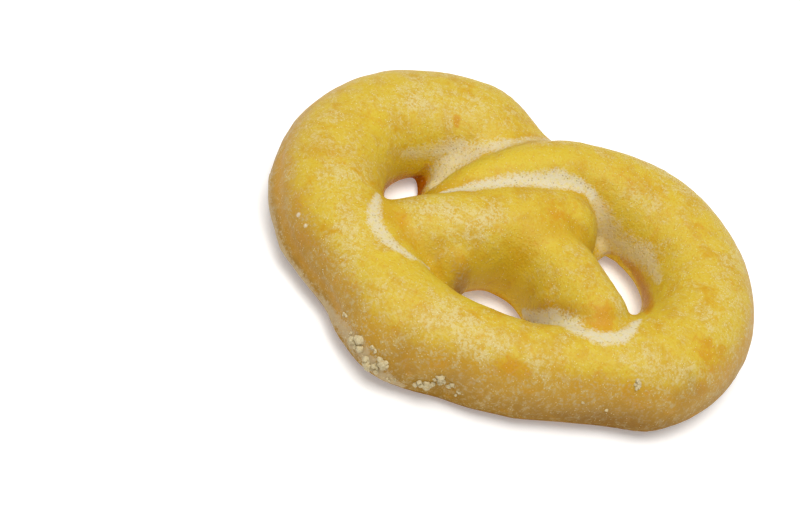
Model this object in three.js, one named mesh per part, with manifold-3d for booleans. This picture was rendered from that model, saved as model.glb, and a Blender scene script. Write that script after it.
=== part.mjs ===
// A pretzel cookie: one rope of dough twisted into a pretzel, baked into one piece.
// Millimetres, +Z up, X across the two lobes, +Y towards the notch between them.
import * as THREE from 'three';
import { mergeVertices } from 'three/addons/utils/BufferGeometryUtils.js';
import Module from 'manifold-3d';

// Driving dimensions.
const ropeHeight = 12; // flat underside to crown
const widestAt = 0.34; // height of the widest line of a section, as a share of its height
const crownRoundness = 0.9; // below 1: a broader crown than an ellipse
const footRoundness = 0.75; // below 1: a squarer foot
const footDepth = 1.22; // how far the lower half would reach if the tray did not flatten it
const sectionSides = 20;
const stepsPerStop = 4;
const endRings = 5; // rings that round off a free end
const endTip = 0.06; // last ring of a rounded end, as a share of its width

// The lobes, seen from above, are arcs: centre, radius, angles in degrees, and the
// half width of the rope where the arc starts and ends.
const leftLobe = { x: -11.3, y: 1.6, radius: 15.9, from: 93, to: 217, stops: 6, halfFrom: 8.15, halfTo: 7.75 };
const rightLobe = { x: 10.7, y: 0.5, radius: 16.0, from: -41, to: 70, stops: 6, halfFrom: 7.75, halfTo: 7.6 };

// The other stops of the rope: x, y, half width, underside, crown.
const base = [
  [-15.9, -15.2, 7.1, 0, ropeHeight],
  [-9.1, -20.1, 7.5, 0, ropeHeight],
  [-0.9, -20.7, 6.1, 0, ropeHeight],
  [7.2, -19.1, 5.8, 0, ropeHeight - 0.2],
  [15.9, -15.1, 6.0, 0, ropeHeight - 0.2],
];
const bar = [
  [-16.2, -8.8, 5.4, 0.8, 11.2],
  [-11.8, -6.6, 6.1, 1.0, 12.6],
  [-6.6, -3.2, 6.5, 1.0, 13.1],
  [-1.4, 0.8, 6.6, 1.0, 13.3],
  [2.8, 3.9, 6.2, 0.8, 12.9],
  [4.4, 5.0, 5.7, 0.6, 12.5],
];
const underpass = [
  [4.9, 11.3, 5.8, 0.4, 10.6],
  [1.0, 13.3, 6.7, 0, 9.6],
  [-4.8, 15.0, 7.5, 0, 10.2],
];
const overpass = [
  [12.2, 15.8, 7.25, 0.2, 12.7],
  [6.0, 14.7, 6.4, 0.6, 13.3],
  [0.0, 11.8, 5.7, 1.5, 13.8],
  [-5.4, 7.0, 4.8, 1.2, 13.2],
  [-8.8, 3.5, 4.2, 0.6, 12.0],
  [-11.2, 0.4, 3.1, 0.3, 10.4],
];
const endStrand = [
  [-6.2, 0.1, 5.4, 0, 11.0],
  [-0.9, -0.2, 5.6, 0, 11.4],
  [5.1, -1.65, 5.9, 0, 12.0],
  [9.4, -5.2, 5.8, 0, 12.6],
  [12.9, -8.4, 5.5, 0.5, 13.0],
];
// Dough that spread low on the tray where the overpass tucks in beside the left hole.
const heel = [
  [-9.0, 10.0, 4.0, 0, 8.5],
  [-11.6, 7.8, 3.3, 0, 7.0],
  [-12.6, 5.8, 2.4, 0, 5.0],
];

// Stops along an arc.
function arc({ x, y, radius, from, to, stops, halfFrom, halfTo }) {
  return Array.from({ length: stops }, (_, i) => {
    const share = i / (stops - 1);
    const angle = THREE.MathUtils.degToRad(THREE.MathUtils.lerp(from, to, share));
    const half = THREE.MathUtils.lerp(halfFrom, halfTo, share);
    return [x + radius * Math.cos(angle), y + radius * Math.sin(angle), half, 0, ropeHeight];
  });
}

// The rings of a strand: a smooth route through its stops, with rounded ends.
function strand(stops) {
  const route = new THREE.CatmullRomCurve3(stops.map(([x, y]) => new THREE.Vector3(x, y, 0)), false, 'centripetal');
  const profile = new THREE.CatmullRomCurve3(stops.map(([, , half, under, crown]) => new THREE.Vector3(half, under, crown)), false, 'centripetal');
  const body = (stops.length - 1) * stepsPerStop;
  const rings = [];
  const ringAt = (t, beyond = 0, shrink = 1) => {
    const place = route.getPoint(t);
    const ahead = route.getTangent(t).setZ(0).normalize();
    const size = profile.getPoint(t);
    const floor = Math.max(size.y, 0); // between two stops the curve may dip below the tray
    const height = size.z - floor;
    rings.push({
      centre: place.addScaledVector(ahead, beyond * size.x),
      left: new THREE.Vector3(-ahead.y, ahead.x, 0),
      half: size.x * shrink,
      under: floor + (1 - shrink) * height * 0.35,
      crown: size.z - (1 - shrink) * height * 0.45,
    });
  };
  const rounding = Array.from({ length: endRings }, (_, i) => {
    const shrink = endTip + (1 - endTip) * Math.sin((i / endRings) * Math.PI * 0.5);
    return [Math.sqrt(1 - shrink * shrink), shrink];
  });
  rounding.forEach(([beyond, shrink]) => ringAt(0, -beyond, shrink));
  for (let i = 0; i <= body; i++) ringAt(i / body);
  [...rounding].reverse().forEach(([beyond, shrink]) => ringAt(1, beyond, shrink));
  return rings;
}

// A closed body through the rings: a unit round bar, each vertex carried to its ring.
function sweep(rings) {
  const outline = new THREE.Shape().absarc(0, 0, 1, 0, Math.PI * 2);
  const geometry = new THREE.ExtrudeGeometry(outline, { depth: 1, steps: rings.length - 1, bevelEnabled: false, curveSegments: sectionSides / 2 });
  const position = geometry.attributes.position;
  for (let i = 0; i < position.count; i++) {
    const ring = rings[Math.round(position.getZ(i) * (rings.length - 1))];
    const across = position.getX(i);
    const up = position.getY(i);
    const middle = ring.under + widestAt * (ring.crown - ring.under);
    const round = up >= -1e-6 ? crownRoundness : footRoundness;
    const offset = ring.half * Math.sign(across) * Math.pow(Math.abs(across), round);
    const rise = up >= 0 ? (ring.crown - middle) * up : (middle - ring.under) * footDepth * up;
    position.setXYZ(
      i,
      ring.centre.x + ring.left.x * offset,
      ring.centre.y + ring.left.y * offset,
      Math.max(ring.under, middle + rise),
    );
  }
  return geometry;
}

const wasm = await Module();
wasm.setup();

function toSolid(geometry) {
  const plain = geometry.clone();
  plain.deleteAttribute('normal');
  plain.deleteAttribute('uv');
  const merged = mergeVertices(plain, 1e-4);
  return new wasm.Manifold(new wasm.Mesh({
    numProp: 3,
    vertProperties: new Float32Array(merged.attributes.position.array),
    triVerts: new Uint32Array(merged.index.array),
  }));
}

function toGeometry(solid) {
  const mesh = solid.getMesh();
  const geometry = new THREE.BufferGeometry();
  geometry.setAttribute('position', new THREE.BufferAttribute(new Float32Array(mesh.vertProperties), 3));
  geometry.setIndex(new THREE.BufferAttribute(new Uint32Array(mesh.triVerts), 1));
  geometry.computeVertexNormals();
  return geometry;
}

// The rope is swept as four bodies that run into each other: the long loop is
// cut across at the middle of the base, and the loose strands end rounded.
const loop = strand([...underpass, ...arc(leftLobe), ...base, ...arc(rightLobe), ...overpass]);
const cut = Math.floor(loop.length / 2);
const strands = [strand(bar), loop.slice(0, cut + 1), loop.slice(cut), strand(endStrand), strand(heel)];
const dough = strands.map((rings) => toSolid(sweep(rings))).reduce((joined, next) => joined.add(next));

// The origin is the middle of the underside.
const shape = toGeometry(dough);
shape.computeBoundingBox();
const { min, max } = shape.boundingBox;
shape.translate(-(min.x + max.x) / 2, -(min.y + max.y) / 2, -min.z);

const cookie = new THREE.Mesh(shape, new THREE.MeshStandardMaterial({ color: 0xd9ac33, roughness: 0.6, metalness: 0 }));
cookie.name = 'pretzel_cookie';

const pretzel = new THREE.Group();
pretzel.add(cookie);

export default pretzel;
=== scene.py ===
import math
import bpy
import numpy as np
from mathutils import Matrix, Vector
from mathutils.kdtree import KDTree


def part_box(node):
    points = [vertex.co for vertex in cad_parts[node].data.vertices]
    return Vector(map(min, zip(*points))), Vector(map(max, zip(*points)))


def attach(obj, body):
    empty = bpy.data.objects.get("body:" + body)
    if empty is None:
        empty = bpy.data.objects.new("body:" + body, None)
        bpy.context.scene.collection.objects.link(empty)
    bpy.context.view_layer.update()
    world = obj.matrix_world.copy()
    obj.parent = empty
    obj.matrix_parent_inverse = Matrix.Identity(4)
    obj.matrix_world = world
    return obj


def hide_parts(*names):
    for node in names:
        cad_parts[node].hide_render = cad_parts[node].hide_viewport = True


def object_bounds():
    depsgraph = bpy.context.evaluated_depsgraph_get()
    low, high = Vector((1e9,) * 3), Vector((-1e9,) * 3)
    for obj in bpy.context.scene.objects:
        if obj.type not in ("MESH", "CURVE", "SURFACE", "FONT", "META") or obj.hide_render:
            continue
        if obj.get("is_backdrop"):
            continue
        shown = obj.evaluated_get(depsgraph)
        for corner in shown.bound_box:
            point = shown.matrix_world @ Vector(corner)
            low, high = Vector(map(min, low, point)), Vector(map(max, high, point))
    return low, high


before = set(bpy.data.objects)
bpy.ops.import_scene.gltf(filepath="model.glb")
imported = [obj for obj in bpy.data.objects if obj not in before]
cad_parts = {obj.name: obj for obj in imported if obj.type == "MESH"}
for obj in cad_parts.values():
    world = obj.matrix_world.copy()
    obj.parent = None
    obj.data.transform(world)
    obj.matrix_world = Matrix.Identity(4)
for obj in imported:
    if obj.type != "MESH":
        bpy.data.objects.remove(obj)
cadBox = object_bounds()
mm = 0.001
print("frame loaded:", len(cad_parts), "node")

# everything up to the finished mesh is worked out in millimetres
# one rope of dough, looped and twisted
rope = {
    "height": 12.0,
    "widestAt": 0.34,  # share of the height where the section is widest
    # roundness above and below that place: 1 is round, and less is squarer
    "crownRoundness": 0.9, "footRoundness": 0.75,
    "footDepth": 1.22,  # how far the foot would reach down if no tray cut it off
    "sides": 40, "stepsPerStop": 8,
    # rounded ends: rings, size of the last one, and how much of the height underside and crown lose
    "endRings": 7, "endTip": 0.06, "endLift": 0.35, "endDrop": 0.45,
    "leftLobe": {
        "x": -11.3, "y": 1.6, "radius": 15.9, "from": 93, "to": 217, "stops": 6,
        "halfFrom": 8.15, "halfTo": 7.75,
    },
    "rightLobe": {
        "x": 10.7, "y": 0.5, "radius": 16.0, "from": -41, "to": 70, "stops": 6,
        "halfFrom": 7.75, "halfTo": 7.6,
    },
    # x, y, half width, underside, crown
    "base": [
        (-15.9, -15.2, 7.1, 0, 12), (-9.1, -20.1, 7.5, 0, 12), (-0.9, -20.7, 6.1, 0, 12),
        (7.2, -19.1, 5.8, 0, 11.8), (15.9, -15.1, 6.0, 0, 11.8),
    ],
    "bar": [
        (-16.2, -8.8, 5.4, 0.8, 11.2), (-11.8, -6.6, 6.1, 1.0, 12.6), (-6.6, -3.2, 6.5, 1.0, 13.1),
        (-1.4, 0.8, 6.6, 1.0, 13.3), (2.8, 3.9, 6.2, 0.8, 12.9), (4.4, 5.0, 5.7, 0.6, 12.5),
    ],
    "underpass": [(4.9, 11.3, 5.8, 0.4, 10.6), (1.0, 13.3, 6.7, 0.0, 9.6), (-4.8, 15.0, 7.5, 0.0, 10.2)],
    "overpass": [
        (12.2, 15.8, 7.25, 0.2, 12.7), (6.0, 14.7, 6.4, 0.6, 13.3), (0.0, 11.8, 5.7, 1.5, 13.8),
        (-5.4, 7.0, 4.8, 1.2, 13.2), (-8.8, 3.5, 4.2, 0.6, 12.0), (-11.2, 0.4, 3.1, 0.3, 10.4),
    ],
    "heel": [(-9.0, 10.0, 4.0, 0.0, 8.5), (-11.6, 7.8, 3.3, 0.0, 7.0), (-12.6, 5.8, 2.4, 0.0, 5.0)],
    # low foot inside the left opening, seen as its browned wall
    "ledge": [(-14.4, 9.2, 2.0, 0.0, 2.3), (-13.7, 7.6, 2.0, 0.0, 2.3), (-13.1, 5.8, 1.8, 0.0, 2.0)],
    "endStrand": [
        (-6.2, 0.1, 5.4, 0.0, 11.0), (-0.9, -0.2, 5.6, 0.0, 11.4), (5.1, -1.65, 5.9, 0.0, 12.0),
        (9.4, -5.2, 5.8, 0.0, 12.6), (12.9, -8.4, 5.5, 0.5, 13.0),
    ],
}


def arcStops(lobe):
    share = np.linspace(0, 1, lobe["stops"])
    angles = np.radians(lobe["from"] + (lobe["to"] - lobe["from"]) * share)
    halves = lobe["halfFrom"] + (lobe["halfTo"] - lobe["halfFrom"]) * share
    stops = []
    for angle, half in zip(angles, halves):
        x = lobe["x"] + lobe["radius"] * math.cos(angle)
        y = lobe["y"] + lobe["radius"] * math.sin(angle)
        stops.append((x, y, half, 0, rope["height"]))
    return stops


def smoothRoute(stops, perStop):  # a smooth curve through stops that are unevenly apart
    p = np.array(stops, float)
    p = np.vstack([2 * p[0] - p[1], p, 2 * p[-1] - p[-2]])
    tooClose = 1e-2
    route = []
    for i in range(1, len(p) - 2):
        a, b, c, d = p[i - 1], p[i], p[i + 1], p[i + 2]
        gap = [max(np.linalg.norm(q - r), 1e-9) ** 0.5 for q, r in ((a, b), (b, c), (c, d))]
        if gap[1] < tooClose:
            gap[1] = 1.0
        gap[0] = gap[1] if gap[0] < tooClose else gap[0]
        gap[2] = gap[1] if gap[2] < tooClose else gap[2]
        leave = ((b - a) / gap[0] - (c - a) / (gap[0] + gap[1]) + (c - b) / gap[1]) * gap[1]
        arrive = ((c - b) / gap[1] - (d - b) / (gap[1] + gap[2]) + (d - c) / gap[2]) * gap[1]
        square = -3 * b + 3 * c - 2 * leave - arrive
        cube = 2 * b - 2 * c + leave + arrive
        for k in range(perStop):
            t = k / perStop
            route.append(b + leave * t + square * t ** 2 + cube * t ** 3)
    route.append(p[-2])
    return np.array(route)


def strandOf(stops):
    centre = smoothRoute([s[:2] for s in stops], rope["stepsPerStop"])
    half, under, crown = smoothRoute([s[2:] for s in stops], rope["stepsPerStop"]).T
    ahead = np.gradient(centre, axis=0)
    ahead /= np.linalg.norm(ahead, axis=1)[:, None]
    return {"centre": centre, "ahead": ahead, "half": half, "under": np.maximum(under, 0), "crown": crown}


def roundedEnds(strand):  # extra rings past both ends, for the mesh only
    rings = list(zip(strand["centre"], strand["half"], strand["under"], strand["crown"]))
    before, after = [], []
    for k in range(rope["endRings"]):
        shrink = rope["endTip"] + (1 - rope["endTip"]) * math.sin(k / rope["endRings"] * math.pi / 2)
        beyond = math.sqrt(1 - shrink ** 2)
        for at, sign, row in ((0, -1, before), (-1, 1, after)):
            half, under, crown = strand["half"][at], strand["under"][at], strand["crown"][at]
            lost = (1 - shrink) * (crown - under)
            tip = strand["centre"][at] + sign * beyond * half * strand["ahead"][at]
            row.append((tip, half * shrink, under + rope["endLift"] * lost, crown - rope["endDrop"] * lost))
    return before + rings + after[::-1]


loopStops = rope["underpass"] + arcStops(rope["leftLobe"]) + rope["base"]
loopStops += arcStops(rope["rightLobe"]) + rope["overpass"]
loopCut = len(loopStops) // 2 - 1
strands = {
    "bar": strandOf(rope["bar"]),
    "left": strandOf(loopStops[:loopCut + 1]),
    "right": strandOf(loopStops[loopCut:]),
    "tail": strandOf(rope["endStrand"]),
    "heel": strandOf(rope["heel"]),
    "ledge": strandOf(rope["ledge"]),
}


def newObject(name, data):
    thing = bpy.data.objects.new(name, data)
    bpy.context.scene.collection.objects.link(thing)
    return thing


# the strands as chains of points that carry their section sizes
chain = bpy.data.meshes.new("ropeChain")
links, rings = [], []
for strand in strands.values():
    added = roundedEnds(strand)
    links += [(len(rings) + i, len(rings) + i + 1) for i in range(len(added) - 1)]
    rings += added
chain.from_pydata([(ring[0][0], ring[0][1], 0.0) for ring in rings], links, [])
for column, label in enumerate(("half", "under", "crown")):
    sizes = [float(ring[column + 1]) for ring in rings]
    chain.attributes.new(label, "FLOAT", "POINT").data.foreach_set("value", sizes)
ropeObject = newObject("ropeChain", chain)


def addNode(tree, kind, settings=None, **inputs):
    node = tree.nodes.new(kind)
    for key, value in (settings or {}).items():
        setattr(node, key, value)
    for key, value in inputs.items():
        numbered = key[0] == "i" and key[1:].isdigit()
        socket = node.inputs[int(key[1:])] if numbered else node.inputs[key]
        if isinstance(value, bpy.types.NodeSocket):
            tree.links.new(value, socket)
        else:
            socket.default_value = value
    return node


def doMath(tree, operation, a, b=0.0, c=0.0):
    return addNode(tree, "ShaderNodeMath", {"operation": operation}, i0=a, i1=b, i2=c).outputs[0]


def storedValue(tree, label, kind="FLOAT"):
    node = addNode(tree, "GeometryNodeInputNamedAttribute", {"data_type": kind}, Name=label)
    return next(o for o in node.outputs if o.enabled)


def newTree(name, sockets):
    tree = bpy.data.node_groups.new(name, "GeometryNodeTree")
    tree.interface.new_socket("Geometry", in_out="OUTPUT", socket_type="NodeSocketGeometry")
    tree.interface.new_socket("Geometry", in_out="INPUT", socket_type="NodeSocketGeometry")
    for label, kind, value in sockets:
        socket = tree.interface.new_socket(label, in_out="INPUT", socket_type=kind)
        if value is not None:
            socket.default_value = value
    return tree, tree.nodes.new("NodeGroupInput").outputs, tree.nodes.new("NodeGroupOutput")


def setInput(modifier, label, value):
    for item in modifier.node_group.interface.items_tree:
        if item.item_type == "SOCKET" and item.in_out == "INPUT" and item.name == label:
            modifier[item.identifier] = value


ropeInputs = [
    ("Sides", "NodeSocketInt", rope["sides"]),
    ("Widest At", "NodeSocketFloat", rope["widestAt"]),
    ("Crown Roundness", "NodeSocketFloat", rope["crownRoundness"]),
    ("Foot Roundness", "NodeSocketFloat", rope["footRoundness"]),
    ("Foot Depth", "NodeSocketFloat", rope["footDepth"]),
]


def buildRopeTree():
    tree, given, result = newTree("doughRope", ropeInputs + [("Dough", "NodeSocketMaterial", None)])
    here = tree.nodes.new("GeometryNodeInputPosition").outputs[0]
    tangent = tree.nodes.new("GeometryNodeInputTangent").outputs[0]

    def store(geometry, label, value):
        kind = {"data_type": "FLOAT_VECTOR", "domain": "POINT"}
        node = addNode(tree, "GeometryNodeStoreNamedAttribute", kind, Geometry=geometry, Name=label)
        tree.links.new(value, node.inputs["Value"])
        return node.outputs[0]

    def storedParts(label):
        whole = storedValue(tree, label, "FLOAT_VECTOR")
        return addNode(tree, "ShaderNodeSeparateXYZ", {}, Vector=whole).outputs

    def calc(operation, *values):
        return doMath(tree, operation, *values)

    route = addNode(tree, "GeometryNodeMeshToCurve", Mesh=given["Geometry"]).outputs[0]
    route = store(store(route, "centre", here), "ahead", tangent)
    circle = {"mode": "RADIUS"}
    ring = addNode(tree, "GeometryNodeCurvePrimitiveCircle", circle, Resolution=given["Sides"], Radius=1.0)
    ring = store(ring.outputs[0], "ringPlace", here)
    swept = addNode(tree, "GeometryNodeCurveToMesh", {}, Curve=route)
    tree.links.new(ring, swept.inputs["Profile Curve"])
    swept.inputs["Fill Caps"].default_value = True

    # the round section becomes a loaf: broad crown, square foot, flat where the tray held it
    across, up, _ = storedParts("ringPlace")
    ahead, centre = storedParts("ahead"), storedParts("centre")
    half, under, crown = (storedValue(tree, label) for label in ("half", "under", "crown"))
    above = calc("GREATER_THAN", up, -1e-4)
    rounder = calc("SUBTRACT", given["Crown Roundness"], given["Foot Roundness"])
    power = calc("ADD", given["Foot Roundness"], calc("MULTIPLY", above, rounder))
    width = calc("MULTIPLY", calc("SIGN", across), calc("POWER", calc("ABSOLUTE", across), power))
    offset = calc("MULTIPLY", half, width)
    middle = calc("MULTIPLY_ADD", calc("SUBTRACT", crown, under), given["Widest At"], under)
    upper = calc("SUBTRACT", crown, middle)
    lower = calc("MULTIPLY", calc("SUBTRACT", middle, under), given["Foot Depth"])
    reach = calc("ADD", lower, calc("MULTIPLY", above, calc("SUBTRACT", upper, lower)))
    z = calc("MAXIMUM", under, calc("MULTIPLY_ADD", up, reach, middle))
    x = calc("SUBTRACT", centre[0], calc("MULTIPLY", ahead[1], offset))
    y = calc("MULTIPLY_ADD", ahead[0], offset, centre[1])
    target = addNode(tree, "ShaderNodeCombineXYZ", {}, X=x, Y=y, Z=z).outputs[0]
    moved = addNode(tree, "GeometryNodeSetPosition", {}, Geometry=swept.outputs[0], Position=target)
    real = addNode(tree, "GeometryNodeRealizeInstances", {}, Geometry=moved.outputs[0]).outputs[0]
    done = addNode(tree, "GeometryNodeSetMaterial", {}, Geometry=real, Material=given["Dough"]).outputs[0]
    tree.links.new(done, result.inputs[0])
    return tree


def plainMesh(thing, name):  # what the modifiers make, as a mesh of its own
    graph = bpy.context.evaluated_depsgraph_get()
    mesh = bpy.data.meshes.new_from_object(thing.evaluated_get(graph))
    mesh.name = name
    return mesh


def readPoints(mesh):
    flat = np.empty(len(mesh.vertices) * 3, np.float32)
    mesh.vertices.foreach_get("co", flat)
    return flat.reshape(-1, 3).astype(np.float64)


def writePoints(mesh, points):
    mesh.vertices.foreach_set("co", points.astype(np.float32).ravel())
    mesh.update()


def remeshed(thing, voxel):
    modifier = thing.modifiers.new("fuse", "REMESH")
    modifier.mode = "VOXEL"
    modifier.voxel_size = voxel
    return plainMesh(thing, "pretzelDough")


doughMaterial = bpy.data.materials.new("glazedDough")
ropeModifier = ropeObject.modifiers.new("rope", "NODES")
ropeModifier.node_group = buildRopeTree()
for label, _, value in ropeInputs:
    setInput(ropeModifier, label, value)
setInput(ropeModifier, "Dough", doughMaterial)
print("rope swept:", len(rings), "rings")

# the strands fused into one piece of dough
fusing = {
    "fillet": 1.3,  # how far two strands run into each other, mm
    # where they run together more: x, y, reach, added width, up to which height
    "softJoins": [
        (3.0, -2.2, 4.5, 1.5, 99), (-4.8, -10.5, 3.4, 6.0, 99), (13.0, -12.5, 4.0, 0.8, 99),
        (10.5, 8.0, 2.5, 4.0, 4), (-15.0, -11.5, 4.0, 1.6, 99), (5.8, -9.3, 2.8, 4.0, 99),
        (-7.6, -9.6, 2.6, 1.5, 99), (-4.0, 17.0, 4.0, 1.2, 99), (-9.5, 11.5, 4.0, 1.5, 99),
        (-5.3, 3.4, 4.0, 0.9, 99), (1.4, 8.4, 4.0, 0.9, 99),
    ],
    "joinFade": 2,  # the added width fades over this height each way, mm
    "loopParts": (-6, 3),  # y from where to where the two halves of the loop part
    "footCorner": 0.9, "trayCorner": 0.2,  # rounding of the foot and of the underside's edge, mm
    "roughVoxel": 0.5, "fineVoxel": 0.325, "quickVoxel": 0.45,  # mm
    "roughRounds": 3, "fineRounds": 2, "longestStep": 0.6, "leastSlope": 0.5,
    "chunk": 6000,  # points worked on at a time
}


def blendFields(d1, g1, d2, g2, width):  # smooth minimum, or maximum where the width is negative
    sign = np.sign(width)
    width = np.maximum(np.abs(width), 1e-6)
    share = np.clip(0.5 + 0.5 * sign * (d2 - d1) / width, 0, 1)
    distance = d2 * (1 - share) + d1 * share - sign * width * share * (1 - share)
    gradient = g2 * (1 - share)[:, None] + g1 * share[:, None]
    return distance, gradient


def smoothStep(start, end, x):
    t = np.clip((x - start) / (end - start), 0, 1)
    return t * t * (3 - 2 * t)


def allDown(points):
    return np.tile([0.0, 0.0, -1.0], (len(points), 1))


def nearestSample(points, centre):
    nearest = np.empty(len(points), int)
    for start in range(0, len(points), fusing["chunk"]):
        block = points[start:start + fusing["chunk"], :2]
        square = (centre ** 2).sum(1)[None, :] - 2 * block @ centre.T
        nearest[start:start + fusing["chunk"]] = square.argmin(1)
    return nearest


def strandField(points, strand):  # distance to a strand and the way out of it
    centre, ahead = strand["centre"], strand["ahead"]
    last = len(centre) - 1
    nearest = nearestSample(points, centre)
    # where the point's foot lies between two samples
    gap = np.linalg.norm(np.gradient(centre, axis=0), axis=1)
    along = ((points[:, :2] - centre[nearest]) * ahead[nearest]).sum(1)
    spot = nearest + along / gap[nearest]
    inside = np.clip(spot, 0, last)
    before = np.minimum(inside.astype(int), last - 1)
    rest = inside - before

    def between(values):
        share = rest[:, None] if values.ndim > 1 else rest
        return values[before] * (1 - share) + values[before + 1] * share

    c, t = between(centre), between(ahead)
    t /= np.linalg.norm(t, axis=1)[:, None]
    half, under, crown = between(strand["half"]), between(strand["under"]), between(strand["crown"])
    side = np.stack([-t[:, 1], t[:, 0]], 1)
    fromCentre = points[:, :2] - c
    off = (fromCentre * side).sum(1)
    beyond = np.where((spot < 0) | (spot > last), (fromCentre * t).sum(1), 0)
    reach = np.maximum(np.hypot(off, beyond), 1e-6)
    outward = (side * off[:, None] + t * beyond[:, None]) / reach[:, None]
    z = points[:, 2]
    middle = under + rope["widestAt"] * (crown - under)
    above = z >= middle
    power = 2 / np.where(above, rope["crownRoundness"], rope["footRoundness"])
    size = np.where(above, crown - middle, (middle - under) * rope["footDepth"])
    u, v = reach / half, (z - middle) / size
    level = np.sqrt(u ** power + v ** 2) + 1e-9
    slopeOut = power * u ** (power - 1) / half / (2 * level)
    slopeUp = v / size / level
    slope = np.hypot(slopeOut, slopeUp) + 1e-9
    distance = (level - 1) / slope
    gradient = np.concatenate([outward * (slopeOut / slope)[:, None], (slopeUp / slope)[:, None]], 1)
    # the tray flattens the foot
    return blendFields(distance, gradient, under - z, allDown(points), -fusing["footCorner"])


def doughField(points):
    fields = {name: strandField(points, strand) for name, strand in strands.items()}
    width = np.full(len(points), fusing["fillet"])
    for x, y, reach, more, top in fusing["softJoins"]:
        square = (points[:, 0] - x) ** 2 + (points[:, 1] - y) ** 2
        fade = 1 - smoothStep(top - fusing["joinFade"], top + fusing["joinFade"], points[:, 2])
        width += more * np.exp(-square / reach ** 2) * fade
    # the two halves of the loop are one rope at the base and cross at the notch
    crossing = smoothStep(*fusing["loopParts"], points[:, 1])
    distance, gradient = blendFields(*fields["left"], *fields["right"], width * crossing + 1e-3)
    for name in ("heel", "ledge", "bar", "tail"):
        distance, gradient = blendFields(distance, gradient, *fields[name], width)
    tray = -fusing["trayCorner"]
    distance, gradient = blendFields(distance, gradient, -points[:, 2], allDown(points), tray)
    return distance, gradient, fields


def settle(points, rounds):  # draw the points onto the dough's surface
    for _ in range(rounds):
        distance, gradient, _ = doughField(points)
        square = np.maximum((gradient ** 2).sum(1), fusing["leastSlope"] ** 2)
        step = np.clip(distance, -fusing["longestStep"], fusing["longestStep"])
        points = points - gradient * step[:, None] / square[:, None]
    return points


fusedMesh = remeshed(ropeObject, fusing["roughVoxel"])
bpy.data.objects.remove(ropeObject)
cookie = newObject("glazedPretzel", fusedMesh)
writePoints(fusedMesh, settle(readPoints(fusedMesh), fusing["roughRounds"]))
fineMesh = remeshed(cookie, fusing["fineVoxel"])
cookie.modifiers.clear()
cookie.data = fineMesh
fieldPoints = settle(readPoints(fineMesh), fusing["fineRounds"])
print("dough fused:", len(fieldPoints), "points,", len(fineMesh.polygons), "faces")

# the solid's box says where the middle of the cookie goes
boxLow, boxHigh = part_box("pretzel_cookie")
cadMiddle = np.array([(boxLow.x + boxHigh.x) / 2 / mm, (boxLow.y + boxHigh.y) / 2 / mm, 0])
doughMiddle = (fieldPoints.min(axis=0) + fieldPoints.max(axis=0)) / 2
doughMiddle[2] = 0
shift = cadMiddle - doughMiddle

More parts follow.
